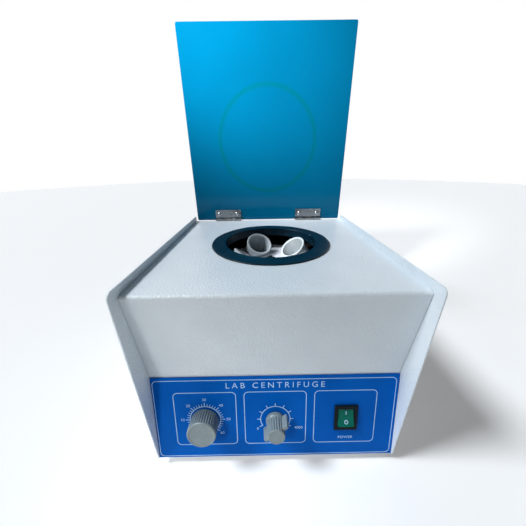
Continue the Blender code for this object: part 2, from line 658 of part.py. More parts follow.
def lid(acrylic, steel, lid_frame):
    half = LID_WIDTH / 2
    top = LID_LENGTH - LID_TAIL
    outline = rounded([(-half, -LID_TAIL), (half, -LID_TAIL), (half, top), (-half, top)], [2 * MM] * 4, 3)
    bm = bmesh.new()
    add_prism(bm, outline, LID_INNER, LID_INNER + LID_SHEET, "Y")
    panel = make("lid_panel", bm, acrylic, lid_frame)
    bm = bmesh.new()
    hole = [(0, 0), (SCREW_HOLE_R, 0), (SCREW_HOLE_R, 12 * MM), (0, 12 * MM)]
    for x, z in hinge_screw_points(1):
        add_turned(bm, hole, 10, along_y((x, 0, z)))
    combine(panel, cutter("lid_holes", bm, lid_frame))

    front = HINGE_BARREL_R - HINGE_LEAF_T - GAP
    screw = screw_profile(2.9 * MM, 1 * MM, 1.3 * MM, LID_INNER + LID_SHEET + 3 * MM - front)
    for k, (x, z) in enumerate(hinge_screw_points(1)):
        turned(f"lid_hinge_screw_{k + 1}", screw, steel, lid_frame, 12,
               location=(x, front, z), rotation=(math.pi / 2, 0, 0))


def power_inlet(black):
    x, z = INLET_AT
    face = REAR_Y + GAP
    bm = bmesh.new()
    flange = rounded([(x - 25 * MM, z - 12 * MM), (x + 25 * MM, z - 12 * MM), (x + 25 * MM, z + 12 * MM),
                      (x - 25 * MM, z + 12 * MM)], [6 * MM] * 4, 4)
    add_prism(bm, flange, face, face + 2.5 * MM, "Y")
    inlet = make("power_inlet", bm, black)
    bm = bmesh.new()
    centred_box(bm, (x, face - 10 * MM, z), (27 * MM, 22 * MM, 20 * MM))
    combine(inlet, cutter("inlet_body", bm), "UNION")
    bm = bmesh.new()
    socket = rounded([(x - 12 * MM, z - 8.2 * MM), (x + 12 * MM, z - 8.2 * MM), (x + 12 * MM, z + 8.2 * MM),
                      (x - 12 * MM, z + 8.2 * MM)], (1 * MM, 1 * MM, 5 * MM, 5 * MM), 2)
    add_prism(bm, socket, face - 17 * MM, face + 4 * MM, "Y")
    for side in (-1, 1):
        add_turned(bm, mm((0, -6), (1.8, -6), (1.8, 6), (0, 6)), 10, along_y((x + side * 20 * MM, face, z)))
    combine(inlet, cutter("inlet_socket", bm))


def fuse_holder(black):
    point = Vector((FUSE_AT[0], REAR_Y + GAP, FUSE_AT[1]))
    bm = bmesh.new()
    add_turned(bm, mm((0, -30), (6.2, -30), (6.2, 0), (9, 0), (9, 2), (5.2, 2), (5.2, -3), (0, -3)), 20,
               along_y(point))
    make("fuse_holder", bm, black)
    bm = bmesh.new()
    cap = mm((0, -2.6), (4.8, -2.6), (4.8, 2.4), (7.6, 2.4, 0.4), (7.4, 8.4, 0.4), (6.6, 9), (0, 9))
    add_turned(bm, cap, 24, along_y(point))
    make("fuse_cap", bm, black)


def speed_board(green, plastic):
    """The board stands clear of the base on standoffs; the terminal block is on the base."""
    x, y = BOARD_AT
    low = BASE_TOP + GAP
    board_z = low + 8.3 * MM
    bm = bmesh.new()
    add_box(bm, (x - BOARD_SIZE[0] / 2, y - BOARD_SIZE[1] / 2, board_z),
            (x + BOARD_SIZE[0] / 2, y + BOARD_SIZE[1] / 2, board_z + 1.6 * MM))
    make("speed_control_board", bm, green)

    tx, ty = TERMINAL_AT
    bm = bmesh.new()
    centred_box(bm, (tx, ty, low + 8 * MM), (18 * MM, 46 * MM, 16 * MM))
    block = make("terminal_block", bm, plastic)
    bm = bmesh.new()
    for k in range(4):
        place = Matrix.Translation((tx, ty + (k - 1.5) * 11 * MM, low + 8 * MM))
        add_turned(bm, mm((0, 0), (3, 0), (3, 10), (0, 10)), 12, place)
    combine(block, cutter("terminal_wells", bm))


def build():
    clear_scene()
    paint = material("off_white_powder_coat", (0.74, 0.78, 0.80), 0.55)
    blue = material("blue_panel_print", (0.01, 0.11, 0.42), 0.4)
    rubber = material("black_rubber", (0.02, 0.022, 0.025), 0.8)
    black = material("black_plastic", (0.015, 0.016, 0.018), 0.4)
    bowl_black = material("black_enamel", (0.012, 0.012, 0.014), 0.45)
    grey = material("grey_knob_plastic", (0.20, 0.25, 0.26), 0.5)
    green = material("green_rocker", (0.0, 0.16, 0.07), 0.25)
    cup_white = material("milky_polypropylene", (0.72, 0.76, 0.76), 0.35)
    alloy = material("satin_alloy", (0.62, 0.62, 0.66), 0.4, 1.0)
    steel = material("zinc_plated_steel", (0.55, 0.56, 0.58), 0.35, 1.0)
    stainless = material("stainless_steel", (0.62, 0.60, 0.58), 0.28, 1.0)
    acrylic = material("blue_acrylic", (0.0, 0.24, 0.55), 0.08, 0.0, 0.85)
    copper = material("copper_winding", (0.45, 0.20, 0.09), 0.4, 1.0)
    board = material("green_laminate", (0.02, 0.18, 0.08), 0.5)
    bakelite = material("cream_plastic", (0.62, 0.58, 0.48), 0.5)

    on_panel = panel_frame()
    chamber_frame = empty("chamber_frame", (0, ROTOR_Y, TOP_Z))
    rotor_axis = empty("rotor_axis", (0, ROTOR_Y, TOP_Z))
    case_hinge = empty("case_hinge_axis", (0, HINGE_Y, HINGE_Z))
    lid_hinge = empty("lid_hinge_axis", (0, HINGE_Y, HINGE_Z), (-LID_LEAN, 0, 0))
    timer_axis = empty("timer_axis", (*TIMER_AT, 0))
    speed_axis = empty("speed_axis", (*SPEED_AT, 0))
    rocker_axis = empty("rocker_axis", (*SWITCH_AT, -ROCKER_PIVOT))
    for axis in (timer_axis, speed_axis, rocker_axis):
        axis.parent = on_panel

    panel_holes(on_panel)
    base = base_parts(paint, rubber)
    plates = side_plates(paint)
    cover = top_front_cover(paint)
    side_screw_holes([base, cover, *plates])
    control_panel(blue, on_panel)
    rear_panel(paint)
    chamber(bowl_black, rubber, chamber_frame)
    rotor(alloy, cup_white, black, rotor_axis)
    motor(steel, alloy, black, copper, rubber, bakelite, chamber_frame, rotor_axis)
    timer(grey, steel, bakelite, on_panel, timer_axis)
    speed_control(grey, steel, bakelite, on_panel, speed_axis)
    power_switch(black, green, on_panel, rocker_axis)
    hinges(stainless, case_hinge, lid_hinge)
    lid(acrylic, steel, lid_hinge)
    power_inlet(black)
    fuse_holder(black)
    speed_board(board, bakelite)


build()
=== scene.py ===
"""Looks of a bench-top laboratory centrifuge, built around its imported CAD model.

Lengths are metres, and MM turns millimetres into metres. Every place is worked out from the frame: the joints
give the axes, and the boxes of the CAD nodes give the sizes.
"""

import json
import math

import bmesh
import bpy
from mathutils import Matrix, Vector


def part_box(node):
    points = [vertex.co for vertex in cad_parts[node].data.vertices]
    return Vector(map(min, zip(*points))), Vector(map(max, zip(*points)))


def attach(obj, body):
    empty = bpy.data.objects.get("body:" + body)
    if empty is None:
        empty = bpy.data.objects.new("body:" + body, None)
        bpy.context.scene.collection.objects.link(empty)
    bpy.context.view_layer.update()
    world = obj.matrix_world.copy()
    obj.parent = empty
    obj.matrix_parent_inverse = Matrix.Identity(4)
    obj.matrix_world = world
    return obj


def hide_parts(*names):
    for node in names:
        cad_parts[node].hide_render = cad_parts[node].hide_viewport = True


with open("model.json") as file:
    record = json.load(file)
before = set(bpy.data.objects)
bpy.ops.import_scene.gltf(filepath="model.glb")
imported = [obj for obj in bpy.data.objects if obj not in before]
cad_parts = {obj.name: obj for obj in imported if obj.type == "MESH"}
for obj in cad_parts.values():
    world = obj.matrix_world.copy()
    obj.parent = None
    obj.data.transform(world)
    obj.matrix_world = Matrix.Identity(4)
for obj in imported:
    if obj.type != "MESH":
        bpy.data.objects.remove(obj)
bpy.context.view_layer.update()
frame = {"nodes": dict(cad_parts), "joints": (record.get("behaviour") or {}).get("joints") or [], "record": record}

MM = 0.001
QUARTER = math.pi / 2

# Camera: close to the object, wide, looking down into the chamber
CAMERA_AT = (-0.0103, -0.2808, 0.3115)
CAMERA_PITCH = math.radians(-24.23)
CAMERA_YAW = math.radians(-0.233)
CAMERA_ROLL = math.radians(-0.843)
CAMERA_LENS = 15.755
CAMERA_SHIFT_X = -0.0019

# Panel print, in millimetres: x from the middle of the panel, and down from its top edge
PRINT_H = 0.06
LINE = 0.75
BORDER = (-127.2, 126, 3.5, 99)
BOX_XS = (-74, 0, 74)
BOX_TOP = 18
BOX_SIDE = 66
BOX_CORNER = 5
TITLE_H = 6.8
LABEL_H = 3.3

# Dials, in millimetres, and how far each scale runs either side of the top, in degrees
TIMER_SCALE_R = 16.3
TIMER_SWEEP = 135
SPEED_SCALE_R = 15.7
SPEED_SWEEP = 120

# Centrifuge cups, in millimetres
CUP_OUTER = 16.8
CUP_INNER = 15.4
CUP_RIM = 18.3
CUP_RIM_H = 2.5
CUP_LENGTH = 100
POCKET_R = 17.2

# Hinges, in millimetres
HINGE_WIDTH = 45
HINGE_BARREL = 2.4
HINGE_SHEET = 0.9
LEAF_START = 3.0
LEAF_LENGTH = 16.2
KNUCKLE_GAP = 0.3
LEAF_SCREW_X = 15.5
LEAF_SCREW_UP = 8.7

# The screws through the side plates: from front to back, and from the case's lower and upper edges
SIDE_SCREW_YS = (-80 * MM, 90 * MM)
SIDE_SCREW_EDGE = 8 * MM

# How far the closed lid tips below level, to rest on the sealing ring
LID_DROP = math.radians(1)

# The sealing ring's mark on the lid: how far past the ring's middle it sits, and its radius inside the ring's
MARK_SHIFT = 5 * MM
MARK_INSET = 1 * MM


# ---------------------------------------------------------------- frames


def joint(name):
    return next(j for j in frame["joints"] if j["name"] == name)


def axes(origin, x, y, z):
    """A frame from its origin and its three axes."""
    made = Matrix((x, y, z)).transposed().to_4x4()
    made.translation = origin
    return made


def spread(node, matrix):
    """(lowest, highest) corner of a CAD node in another frame."""
    back = matrix.inverted()
    points = [back @ v.co for v in frame["nodes"][node].data.vertices]
    low = Vector(min(p[i] for p in points) for i in range(3))
    high = Vector(max(p[i] for p in points) for i in range(3))
    return low, high


def panel_frame():
    """X along the panel, Y up its face, Z out of it; the origin is the middle of the face's top edge."""
    turn = joint("timer_turn")
    out = -Vector(turn["axis"]).normalized()
    up = out.cross(Vector((1, 0, 0)))
    face = axes(turn["pos_m"], Vector((1, 0, 0)), up, out)
    low, high = spread("control_panel", face)
    face.translation = face @ Vector(((low.x + high.x) / 2, high.y, 0))
    return face


def lid_frame():
    """On the hinge axis: X along it, Y behind the lid and Z up along the lid."""
    hinge = joint("lid_hinge")
    lean = math.radians(hinge["range_deg"][1]) - QUARTER - LID_DROP
    return Matrix.Translation(hinge["pos_m"]) @ Matrix.Rotation(-lean, 4, "X")


def cup_frame(number):
    """On a cup's axis: the origin is the middle of its mouth and Z points out of it."""
    boxes = {o["name"]: o["box_m"] for o in frame["record"]["physics"]["openings"]}
    centres = []
    for step in (1, 3):
        low, high = boxes[f"cup_{number}_inside_{step}"]
        centres.append((Vector(low) + Vector(high)) / 2)
    out = (centres[0] - centres[1]).normalized()
    side = Vector((0, 0, 1)).cross(out).normalized()
    made = axes(centres[0], out.cross(side) * -1, side, out)
    made.translation = made @ Vector((0, 0, spread(f"cup_{number}", made)[1].z))
    return made


PANEL = panel_frame()
LID = lid_frame()
HINGE = Matrix.Translation(joint("lid_hinge")["pos_m"])
ROTOR = Matrix.Translation(joint("rotor_spin")["pos_m"])


# ---------------------------------------------------------------- materials


class Nodes:
    """Short ways to build one material out of shader nodes."""

    def __init__(self, name, roughness, metallic=0.0, **sockets):
        self.material = bpy.data.materials.new(name)
        self.material.use_nodes = True
        self.tree = self.material.node_tree
        self.shader = self.tree.nodes["Principled BSDF"]
        self.shader.inputs["Roughness"].default_value = roughness
        self.shader.inputs["Metallic"].default_value = metallic
        for socket, value in sockets.items():
            self.shader.inputs[socket.replace("_", " ")].default_value = value
        self.coordinates = self.add("ShaderNodeTexCoord").outputs["Object"]

    def add(self, kind, **settings):
        node = self.tree.nodes.new(kind)
        for name, value in settings.items():
            setattr(node, name, value)
        return node

    def link(self, start, end):
        self.tree.links.new(start, end)

    def stretched(self, scale):
        mapping = self.add("ShaderNodeMapping")
        mapping.inputs["Scale"].default_value = scale
        self.link(self.coordinates, mapping.inputs["Vector"])
        return mapping.outputs["Vector"]

    def noise(self, scale, detail=2.0, coordinates=None):
        node = self.add("ShaderNodeTexNoise")
        node.inputs["Scale"].default_value = scale
        node.inputs["Detail"].default_value = detail
        self.link(coordinates or self.coordinates, node.inputs["Vector"])
        return node.outputs["Fac"]

    def blend(self, factor, first, second, low=0.3, high=0.7):
        """A colour that goes from first to second as the factor goes from low to high."""
        ramp = self.add("ShaderNodeValToRGB")
        ends = ramp.color_ramp.elements
        ends[0].position = low
        ends[1].position = high
        ends[0].color = (*first, 1)
        ends[1].color = (*second, 1)
        self.link(factor, ramp.inputs["Fac"])
        return ramp.outputs["Color"]

    def between(self, factor, low, high):
        node = self.add("ShaderNodeMapRange")
        node.inputs["From Min"].default_value = 0.3
        node.inputs["From Max"].default_value = 0.7
        node.inputs["To Min"].default_value = low
        node.inputs["To Max"].default_value = high
        self.link(factor, node.inputs["Value"])
        return node.outputs["Result"]

    def bump(self, height, depth, strength=1.0, normal=None):
        node = self.add("ShaderNodeBump")
        node.inputs["Distance"].default_value = depth
        node.inputs["Strength"].default_value = strength
        self.link(height, node.inputs["Height"])
        if normal:
            self.link(normal, node.inputs["Normal"])
        return node.outputs["Normal"]

    def over(self, factor, colour, below):
        """The colour below, going over to another colour as the factor goes to 1."""
        mix = self.add("ShaderNodeMix", data_type="RGBA")
        mix.inputs["B"].default_value = (*colour, 1)
        self.link(factor, mix.inputs["Factor"])
        self.link(below, mix.inputs["A"])
        return mix.outputs["Result"]

    def set(self, socket, value):
        self.link(value, self.shader.inputs[socket])


def varied(name, first, second, patch, roughness, grain, depth, metallic=0.0, stretch=None, **sockets):
    """A material with a slow change of colour and gloss, and a fine grain in its surface.
    patch and grain are the sizes of the two, in millimetres; depth is the grain's, in millimetres."""
    made = Nodes(name, sum(roughness) / 2, metallic, **sockets)
    slow = made.noise(1 / (patch * MM), 3)
    made.set("Base Color", made.blend(slow, first, second))
    made.set("Roughness", made.between(slow, *roughness))
    where = made.stretched(stretch) if stretch else None
    fine = made.noise(1 / (grain * MM), 3, where)
    made.set("Normal", made.bump(fine, depth * MM))
    return made


def powder_coat():
    """Off-white powder coat: soft pebbles about a millimetre and a half across, and a finer grain."""
    made = Nodes("off_white_powder_coat_look", 0.35, Specular_IOR_Level=0.5)
    slow = made.noise(18, 3)
    made.set("Base Color", made.blend(slow, (0.71, 0.775, 0.82), (0.76, 0.825, 0.865)))
    made.set("Roughness", made.between(made.noise(60, 3), 0.28, 0.42))
    pebbles = made.add("ShaderNodeTexVoronoi", feature="SMOOTH_F1")
    pebbles.inputs["Scale"].default_value = 620
    pebbles.inputs["Smoothness"].default_value = 0.7
    made.link(made.coordinates, pebbles.inputs["Vector"])
    coarse = made.bump(pebbles.outputs["Distance"], 0.42 * MM, 0.9)
    made.set("Normal", made.bump(made.noise(2600, 3), 0.04 * MM, 0.6, coarse))
    return made.material


def panel_blue():
    return varied("blue_panel_print_look", (0.0004, 0.105, 0.49), (0.0006, 0.125, 0.56), 40, (0.32, 0.42),
                  0.5, 0.012, Specular_IOR_Level=0.02).material


def print_white():
    return varied("panel_lettering_look", (0.42, 0.68, 0.92), (0.52, 0.76, 0.96), 8, (0.45, 0.55), 0.3, 0.01,
                  Specular_IOR_Level=0.1).material


def rubber():
    # Black rubber; the blue tint in its two colours is a painted reflection of the blue lid, not the rubber's own
    # colour.
    return varied("black_rubber_painted_lid_reflection_look", (0.001, 0.013, 0.026), (0.002, 0.018, 0.034), 12, (0.26, 0.38),
                  0.8, 0.04, Specular_IOR_Level=0.2).material


def enamel():
    return varied("black_enamel_look", (0.006, 0.005, 0.006), (0.014, 0.011, 0.012), 25, (0.42, 0.60),
                  1.6, 0.10, Specular_IOR_Level=0.12).material


def black_plastic():
    return varied("black_plastic_look", (0.003, 0.007, 0.010), (0.005, 0.010, 0.014), 9, (0.30, 0.40),
                  0.35, 0.03, Specular_IOR_Level=0.07).material


def knob_grey():
    return varied("grey_knob_plastic_look", (0.19, 0.24, 0.255), (0.225, 0.28, 0.295), 7, (0.28, 0.40),
                  0.3, 0.03, Specular_IOR_Level=0.5).material


def rocker_green():
    return varied("green_rocker_look", (0.0008, 0.13, 0.095), (0.0012, 0.18, 0.13), 6, (0.14, 0.22),
                  1.5, 0.01, Specular_IOR_Level=0.05, Transmission_Weight=0.1).material


def cup_white():
    """Milky polypropylene, with a fine grain in its surface."""
    return varied("milky_polypropylene_look", (0.52, 0.58, 0.61), (0.62, 0.68, 0.71), 14, (0.26, 0.40),
                  0.9, 0.05, Transmission_Weight=0.12).material


def alloy():
    """Machined alloy with fine turning marks round the vertical axis."""
    made = Nodes("satin_alloy_look", 0.34, 0.2)
    made.set("Base Color", made.blend(made.noise(40, 3), (0.78, 0.80, 0.87), (0.86, 0.88, 0.94)))
    rings = made.add("ShaderNodeTexWave", wave_type="RINGS", rings_direction="Z", wave_profile="SIN")
    rings.inputs["Scale"].default_value = 420
    rings.inputs["Distortion"].default_value = 1.2
    shift = made.add("ShaderNodeMapping")
    shift.inputs["Location"].default_value = -ROTOR.translation
    made.link(made.coordinates, shift.inputs["Vector"])
    made.link(shift.outputs["Vector"], rings.inputs["Vector"])
    made.set("Roughness", made.between(rings.outputs["Fac"], 0.30, 0.40))
    made.set("Normal", made.bump(rings.outputs["Fac"], 0.012 * MM, 0.6))
    return made.material


def zinc():
    return varied("zinc_plated_steel_look", (0.52, 0.53, 0.56), (0.68, 0.68, 0.70), 5, (0.22, 0.36),
                  0.4, 0.01, 1.0).material


def stainless():
    """Brushed stainless steel, its grain along X."""
    return varied("stainless_steel_look", (0.30, 0.31, 0.32), (0.46, 0.47, 0.48), 6, (0.18, 0.30),
                  0.25, 0.012, 1.0, stretch=(0.03, 1, 1)).material


def acrylic():
    """Blue acrylic sheet, darker on its cut edges, with the faint mark of the sealing ring."""
    made = Nodes("blue_acrylic_look", 0.07, Specular_IOR_Level=0.12)
    base = made.blend(made.noise(9, 2), (0.0, 0.118, 0.240), (0.0, 0.132, 0.266))
    marked = made.over(seal_mark(made), (0.0, 0.125, 0.145), base)
    made.set("Base Color", made.over(cut_edge(made), (0.0, 0.022, 0.05), marked))
    scratches = made.noise(1500, 2, made.stretched((1, 1, 0.02)))
    made.set("Roughness", made.between(made.noise(30, 4), 0.05, 0.11))
    made.set("Normal", made.bump(scratches, 0.002 * MM, 0.3))
    return made.material


def cut_edge(made):
    """1 on the faces that look sideways, up or down, and 0 on the lid's two broad faces, in its shader."""
    split = made.add("ShaderNodeSeparateXYZ")
    made.link(made.coordinates.node.outputs["Normal"], split.inputs["Vector"])
    size = made.add("ShaderNodeMath", operation="ABSOLUTE")
    made.link(split.outputs["Y"], size.inputs[0])
    edge = made.add("ShaderNodeMapRange")
    edge.inputs["From Min"].default_value = 0.9
    edge.inputs["From Max"].default_value = 0.5
    made.link(size.outputs["Value"], edge.inputs["Value"])
    return edge.outputs["Result"]


def seal_mark(made):
    """How strongly the sealing ring's faint mark shows, in the lid's shader; 0 away from the mark."""
    low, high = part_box("sealing_ring")
    reach = joint("lid_hinge")["pos_m"][1] - (low.y + high.y) / 2 + MARK_SHIFT
    radius = (high.x - low.x) / 2 - MARK_INSET
    centre = LID @ Vector((0, spread("lid_panel", LID)[0].y, reach))
    away = made.add("ShaderNodeVectorMath", operation="DISTANCE")
    away.inputs[1].default_value = centre
    made.link(made.coordinates, away.inputs[0])
    offset = made.add("ShaderNodeMath", operation="SUBTRACT")
    offset.inputs[1].default_value = radius
    made.link(away.outputs["Value"], offset.inputs[0])
    size = made.add("ShaderNodeMath", operation="ABSOLUTE")
    made.link(offset.outputs["Value"], size.inputs[0])
    fade = made.add("ShaderNodeMapRange", interpolation_type="SMOOTHSTEP")
    fade.inputs["From Min"].default_value = 5 * MM
    fade.inputs["From Max"].default_value = 1 * MM
    fade.inputs["To Max"].default_value = 0.55
    made.link(size.outputs["Value"], fade.inputs["Value"])
    return fade.outputs["Result"]


def copper():
    return varied("copper_winding_look", (0.40, 0.16, 0.06), (0.55, 0.24, 0.10), 4, (0.3, 0.45),
                  0.6, 0.08, 1.0).material


def laminate():
    return varied("green_laminate_look", (0.01, 0.13, 0.055), (0.02, 0.17, 0.075), 5, (0.35, 0.5),
                  0.5, 0.02).material


def cream():
    return varied("cream_plastic_look", (0.58, 0.54, 0.44), (0.66, 0.62, 0.51), 8, (0.4, 0.55),
                  0.5, 0.03).material


LOOKS = {
    "off_white_powder_coat": powder_coat(),
    "blue_panel_print": panel_blue(),
    "black_rubber": rubber(),
    "black_enamel": enamel(),
    "black_plastic": black_plastic(),
    "grey_knob_plastic": knob_grey(),
    "green_rocker": rocker_green(),
    "milky_polypropylene": cup_white(),
    "satin_alloy": alloy(),
    "zinc_plated_steel": zinc(),
    "stainless_steel": stainless(),
    "blue_acrylic": acrylic(),
    "copper_winding": copper(),
    "green_laminate": laminate(),
    "cream_plastic": cream(),
}
LETTERING = print_white()


# ---------------------------------------------------------------- mesh tools, in millimetres


def scaled(matrix):
    """The frame with millimetres as its unit."""
    return matrix @ Matrix.Scale(MM, 4)


def add_turned(bm, profile, segments=64, matrix=Matrix(), flutes=0):
    """A body turned about Z. A profile point is (radius, height) or (radius, height, depth): the depth is how
    far the valleys between the flutes lie below that ring's radius."""
    rings = []
    for radius, height, *depth in profile:
        if radius == 0:
            rings.append([bm.verts.new(matrix @ Vector((0, 0, height)))] * segments)
            continue
        ring = []
        for i in range(segments):
            angle = 2 * math.pi * i / segments
            valley = (0.5 - 0.5 * math.cos(flutes * angle)) ** 2
            reach = radius - (depth[0] * valley if depth else 0)
            point = Vector((reach * math.cos(angle), reach * math.sin(angle), height))
            ring.append(bm.verts.new(matrix @ point))
        rings.append(ring)
    bands = list(zip(rings, rings[1:]))
    if profile[0][0] and profile[-1][0]:
        bands.append((rings[-1], rings[0]))
    for upper, lower in bands:
        for i in range(segments):
            j = (i + 1) % segments
            corners = dict.fromkeys((upper[i], upper[j], lower[j], lower[i]))
            bm.faces.new(list(corners))


def add_prism(bm, outline, start, end, axis="Z", matrix=Matrix()):
    """A flat outline carried along one axis. The outline is in the other two axes, in X, Y, Z order."""
    spread_out = {
        "X": lambda a, b, s: Vector((s, a, b)),
        "Y": lambda a, b, s: Vector((a, s, b)),
        "Z": lambda a, b, s: Vector((a, b, s)),
    }[axis]
    near = [bm.verts.new(matrix @ spread_out(a, b, start)) for a, b in outline]
    far = [bm.verts.new(matrix @ spread_out(a, b, end)) for a, b in outline]
    bm.faces.new(near)
    bm.faces.new(far[::-1])
    for i in range(len(outline)):
        j = (i + 1) % len(outline)
        bm.faces.new((near[i], far[i], far[j], near[j]))


def add_box(bm, centre, size, matrix=Matrix()):
    x, y, z = (s / 2 for s in size)
    outline = [(centre[0] - x, centre[1] - y), (centre[0] + x, centre[1] - y),
               (centre[0] + x, centre[1] + y), (centre[0] - x, centre[1] + y)]
    add_prism(bm, outline, centre[2] - z, centre[2] + z, "Z", matrix)


def add_band(bm, outer, inner, low, high, matrix=Matrix(), closed=True):
    """A flat strip between two lines with as many points each."""
    lines = []
    for line in (outer, inner):
        for height in (high, low):
            lines.append([bm.verts.new(matrix @ Vector((a, b, height))) for a, b in line])
    top_out, low_out, top_in, low_in = lines
    count = len(outer)
    for i in range(count if closed else count - 1):
        j = (i + 1) % count
        bm.faces.new((top_out[i], top_out[j], top_in[j], top_in[i]))
        bm.faces.new((low_out[i], low_in[i], low_in[j], low_out[j]))
        bm.faces.new((top_out[i], low_out[i], low_out[j], top_out[j]))
        bm.faces.new((top_in[i], top_in[j], low_in[j], low_in[i]))
    if not closed:
        for i in (0, -1):
            bm.faces.new((top_out[i], top_in[i], low_in[i], low_out[i]))


def arc(centre, radius, start, end, steps):
    """Points on an arc; the angles are in degrees from +X."""
    points = []
    for k in range(steps + 1):
        angle = math.radians(start + (end - start) * k / steps)
        points.append((centre[0] + radius * math.cos(angle), centre[1] + radius * math.sin(angle)))
    return points


def round_box(low, high, radius, steps=6):
    """The outline of a rectangle with round corners."""
    points = []
    corners = ((high[0], high[1], 0), (low[0], high[1], 90), (low[0], low[1], 180), (high[0], low[1], 270))
    for x, y, start in corners:
        centre = (x - math.copysign(radius, x - low[0] - (high[0] - low[0]) / 2),
                  y - math.copysign(radius, y - low[1] - (high[1] - low[1]) / 2))
        points += arc(centre, radius, start, start + 90, steps)
    return points


def shape(bm):
    """A loose object with this mesh, its faces turned outward."""
    bmesh.ops.recalc_face_normals(bm, faces=bm.faces)
    mesh = bpy.data.meshes.new("shape")
    bm.to_mesh(mesh)
    bm.free()
    obj = bpy.data.objects.new("shape", mesh)
    bpy.context.scene.collection.objects.link(obj)
    return obj


def applied(obj):
    """The object with its modifiers turned into mesh."""
    graph = bpy.context.evaluated_depsgraph_get()
    mesh = bpy.data.meshes.new_from_object(obj.evaluated_get(graph))
    obj.modifiers.clear()
    obj.data = mesh
    return obj


def boolean(obj, bm, operation="DIFFERENCE"):
    tool = shape(bm)
    change = obj.modifiers.new("boolean", "BOOLEAN")
    change.operation = operation
    change.solver = "EXACT"
    change.object = tool
    applied(obj)
    bpy.data.objects.remove(tool, do_unlink=True)
    return obj


def bevelled(obj, width, segments=2, angle=30):
    change = obj.modifiers.new("edge", "BEVEL")
    change.width = width * MM
    change.segments = segments
    change.limit_method = "ANGLE"
    change.angle_limit = math.radians(angle)
    return applied(obj)


def piece(obj, name, slot, body, *replaced, sharp=35, look=None):
    """Names a finished shape, gives it its finish and its body, and hides the CAD nodes it stands for."""
    obj.name = name
    obj.data.name = name
    obj.data.materials.clear()
    obj.data.materials.append(look or LOOKS[slot])
    obj.data.shade_smooth()
    obj.data.set_sharp_from_angle(angle=math.radians(sharp))
    even = obj.modifiers.new("even", "WEIGHTED_NORMAL")
    even.keep_sharp = True
    applied(obj)
    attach(obj, body)
    if replaced:
        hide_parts(*replaced)
    return obj


def turned(name, profile, slot, body, *replaced, at=Matrix(), segments=64, flutes=0, sharp=35, look=None):
    bm = bmesh.new()
    add_turned(bm, profile, segments, scaled(at), flutes)
    return piece(shape(bm), name, slot, body, *replaced, sharp=sharp, look=look)


def from_node(node):
    """A CAD node's shape as clean faces, ready for finer edges."""
    bm = bmesh.new()
    bm.from_mesh(frame["nodes"][node].data)
    bmesh.ops.remove_doubles(bm, verts=bm.verts, dist=0.005 * MM)
    bmesh.ops.dissolve_limit(bm, angle_limit=math.radians(0.5), verts=bm.verts, edges=bm.edges)
    return shape(bm)


# ---------------------------------------------------------------- screws


def turned_to(point, direction):
    """A frame at a point whose Z runs along a direction."""
    made = Vector(direction).to_track_quat("Z", "Y").to_matrix().to_4x4()
    made.translation = point
    return made


def screw(name, point, direction, body, head=3.4, length=8, *replaced, sunk=False):
    """A screw with a cross recess, its head a dome or sunk flush; direction points out of the head."""
    at = turned_to(point, direction)
    shank = head * 0.5
    if sunk:
        top = 0
        crown = [(0, 0), (head, 0), (head, -0.15), (shank, -0.15 - head + shank)]
    else:
        top = 0.45 * head + 0.1
        dome = [(head * math.sin(math.radians(a)), 0.45 * head * math.cos(math.radians(a)) + 0.1)
                for a in (20, 40, 60, 80)]
        crown = [(0, top), *dome, (head, 0), (shank, 0)]
    bm = bmesh.new()
    add_turned(bm, [*crown, (shank, -length), (0, -length - 0.4)], 32, scaled(at))
    obj = shape(bm)
    bm = bmesh.new()
    arm = 0.55 * head
    half = 0.11 * head
    cross = [(arm, -half), (arm, half), (half, half), (half, arm), (-half, arm), (-half, half),
             (-arm, half), (-arm, -half), (-half, -half), (-half, -arm), (half, -arm), (half, -half)]
    add_prism(bm, cross, top - 0.25 * head, top + 0.3 * head, "Z", scaled(at))
    boolean(obj, bm)
    return piece(obj, name, "zinc_plated_steel", body, *replaced, sharp=30)


def hex_nut(name, point, direction, body, across=5.5, height=2.4, bore=1.4):
    at = turned_to(point, direction)
    reach = across / math.sqrt(3)
    bm = bmesh.new()
    outline = arc((0, 0), reach, 0, 300, 5)
    add_prism(bm, outline, 0, height, "Z", scaled(at))
    obj = shape(bm)
    bm = bmesh.new()
    add_turned(bm, [(0, -1), (bore, -1), (bore, height + 1), (0, height + 1)], 24, scaled(at))
    boolean(obj, bm)
    bevelled(obj, 0.25)
    return piece(obj, name, "zinc_plated_steel", body)


# ---------------------------------------------------------------- case


def case():
    """The painted sheets, their bevels in millimetres, and countersunk screws through the side plates."""
    edges = {
        "left_side_plate": 0.35,
        "right_side_plate": 0.35,
        "top_front_cover": 0.25,
        "rear_panel": 0.25,
        "base_plate": 0.25,
    }
    cover_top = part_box("top_front_cover")[1].z
    left_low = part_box("left_side_plate")[0]
    right_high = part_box("right_side_plate")[1]
    heights = (left_low.z + SIDE_SCREW_EDGE, cover_top - SIDE_SCREW_EDGE)
    sunk = {}
    for x, side, word in ((left_low.x, -1, "left"), (right_high.x, 1, "right")):
        spots = [(x, y, z) for y in SIDE_SCREW_YS for z in heights]
        sunk[f"{word}_side_plate"] = [turned_to(spot, (side, 0, 0)) for spot in spots]
    for node, width in edges.items():
        obj = from_node(node)
        bm = bmesh.new()
        for at in sunk.get(node, []):
            add_turned(bm, [(0, -4), (1.9, -4), (1.9, -1.9), (3.7, -0.1), (3.7, 1), (0, 1)], 32, scaled(at))
        if node in sunk:
            boolean(obj, bm)
        piece(bevelled(obj, width, 2, 40), node + "_sheet", "off_white_powder_coat", "case", node)
    for node, frames in sunk.items():
        for number, at in enumerate(frames, 1):
            out = at.to_3x3() @ Vector((0, 0, 1))
            screw(f"{node[:-6]}_screw_{number}", at.translation, out, "case", sunk=True)


